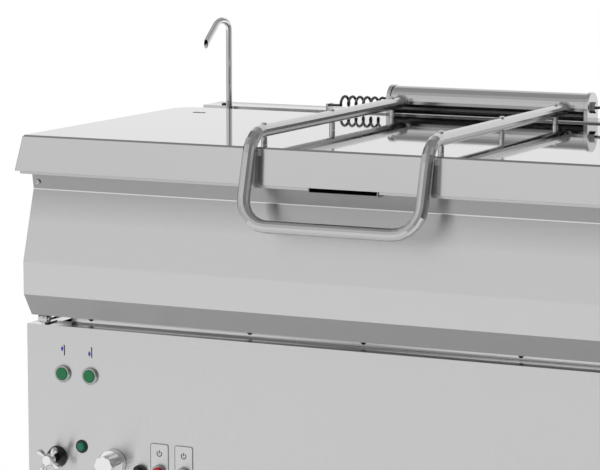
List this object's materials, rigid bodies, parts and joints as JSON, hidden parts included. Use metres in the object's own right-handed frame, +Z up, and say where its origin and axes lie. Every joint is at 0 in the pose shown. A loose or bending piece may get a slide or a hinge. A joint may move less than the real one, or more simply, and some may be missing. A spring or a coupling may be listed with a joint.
{
  "type": "tilting bratt pan",
  "caption": "Free-standing tilting bratt pan with a sprung hinged lid, tubular lid handle, swivel water spout and geared tilt drive.",
  "frame": {"origin": "on the floor, below the middle of the bounding box", "axes": "+X to the right as seen from the front, +Y to the rear, +Z up; the front panel and the handle face -Y"},
  "size_m": [1.2, 0.7844, 1.0743],
  "materials": {
    "black_plastic": "black plastic",
    "brushed": "brushed stainless steel sheet and tube",
    "chrome": "chrome plate",
    "dark_steel": "dark steel, slightly shiny",
    "green_lens": "green lamp lens",
    "green_plastic": "green plastic cap",
    "motor_grey": "grey paint",
    "polished": "bright stainless steel, nearly mirror-like on the lid's top",
    "red_plastic": "red plastic cap"
  },
  "bodies": {
    "base": {"base_frame": "brushed", "base_tray": "brushed", "black_button_bezel": "black_plastic", "foot_front_left": "brushed", "foot_front_right": "brushed", "foot_rear_left": "brushed", "foot_rear_right": "brushed", "front_panel": "brushed", "lamp_body": "black_plastic", "lamp_lens": "green_lens", "lower_button_bezel": "chrome", "raise_button_bezel": "chrome", "rear_column": "brushed", "rear_panel": "brushed", "red_button_left_bezel": "black_plastic", "red_button_right_bezel": "black_plastic", "side_panel_left": "brushed", "side_panel_right": "brushed", "thermostat_body": "dark_steel", "tilt_gearmotor": "motor_grey", "trunnion_bracket_left": "brushed", "trunnion_bracket_right": "brushed", "trunnion_pin_left": "dark_steel", "trunnion_pin_right": "dark_steel", "valve_body": "dark_steel", "water_elbow": "chrome"},
    "pan": {"heating_cover": "brushed", "heating_plate": "dark_steel", "hinge_ear_left": "brushed", "hinge_ear_right": "brushed", "lid_spring_left": "dark_steel", "lid_spring_right": "dark_steel", "pan_cladding": "brushed", "pan_vessel": "polished", "pouring_lip": "polished", "spring_anchor_left": "brushed", "spring_anchor_right": "brushed", "tilt_quadrant": "dark_steel", "trunnion_lug_left": "brushed", "trunnion_lug_right": "brushed"},
    "lid": {"handle_post_left_1": "polished", "handle_post_left_2": "polished", "handle_post_left_3": "polished", "handle_post_right_1": "polished", "handle_post_right_2": "polished", "handle_post_right_3": "polished", "hinge_bolt_left": "polished", "hinge_bolt_right": "polished", "hinge_tube": "polished", "lid": "polished", "lid_handle": "brushed"},
    "water_spout": {"water_spout": "chrome"},
    "pinion": {"tilt_pinion": "dark_steel"},
    "raise_button": {"raise_button_cap": "green_plastic"},
    "lower_button": {"lower_button_cap": "green_plastic"},
    "red_button_left": {"red_button_left_cap": "red_plastic"},
    "red_button_right": {"red_button_right_cap": "red_plastic"},
    "black_button": {"black_button_cap": "black_plastic"},
    "thermostat_knob": {"thermostat_knob": "chrome"},
    "valve_handle": {"valve_handle": "chrome"}
  },
  "joints": [
    {"name": "pan_tilt", "type": "hinge", "parent": "base", "child": "pan", "pos_m": [0, -0.30624, 0.597], "axis": [1, 0, 0], "range_deg": [0, 85]},
    {"name": "lid_hinge", "type": "hinge", "parent": "pan", "child": "lid", "pos_m": [0, 0.28226, 0.9358], "axis": [-1, 0, 0], "range_deg": [0, 80], "stiffness_Nm_per_rad": 45, "springref_deg": 85.94},
    {"name": "pinion_turn", "type": "hinge", "parent": "base", "child": "pinion", "pos_m": [0.5, -0.11826, 0.60028], "axis": [1, 0, 0], "range_deg": [-490, 0]},
    {"name": "spout_swivel", "type": "hinge", "parent": "base", "child": "water_spout", "pos_m": [-0.527, 0.30527, 0.9103], "axis": [0, 0, 1], "range_deg": [-72, 98]},
    {"name": "valve_turn", "type": "hinge", "parent": "base", "child": "valve_handle", "pos_m": [-0.543, -0.30774, 0.3595], "axis": [0, -1, 0], "range_deg": [0, 270]},
    {"name": "thermostat_turn", "type": "hinge", "parent": "base", "child": "thermostat_knob", "pos_m": [-0.432, -0.30774, 0.3605], "axis": [0, 1, 0], "range_deg": [0, 270]},
    {"name": "raise_press", "type": "slide", "parent": "base", "child": "raise_button", "axis": [0, 1, 0], "range_m": [0, 0.002], "stiffness_N_per_m": 600, "springref_m": -0.003},
    {"name": "lower_press", "type": "slide", "parent": "base", "child": "lower_button", "axis": [0, 1, 0], "range_m": [0, 0.002], "stiffness_N_per_m": 600, "springref_m": -0.003},
    {"name": "red_left_press", "type": "slide", "parent": "base", "child": "red_button_left", "axis": [0, 1, 0], "range_m": [0, 0.002], "stiffness_N_per_m": 600, "springref_m": -0.003},
    {"name": "red_right_press", "type": "slide", "parent": "base", "child": "red_button_right", "axis": [0, 1, 0], "range_m": [0, 0.002], "stiffness_N_per_m": 600, "springref_m": -0.003},
    {"name": "black_press", "type": "slide", "parent": "base", "child": "black_button", "axis": [0, 1, 0], "range_m": [0, 0.002], "stiffness_N_per_m": 600, "springref_m": -0.003}
  ],
  "couplings": [
    {"joint": "pinion_turn", "follows": "pan_tilt", "ratio": -5.7143}
  ]
}
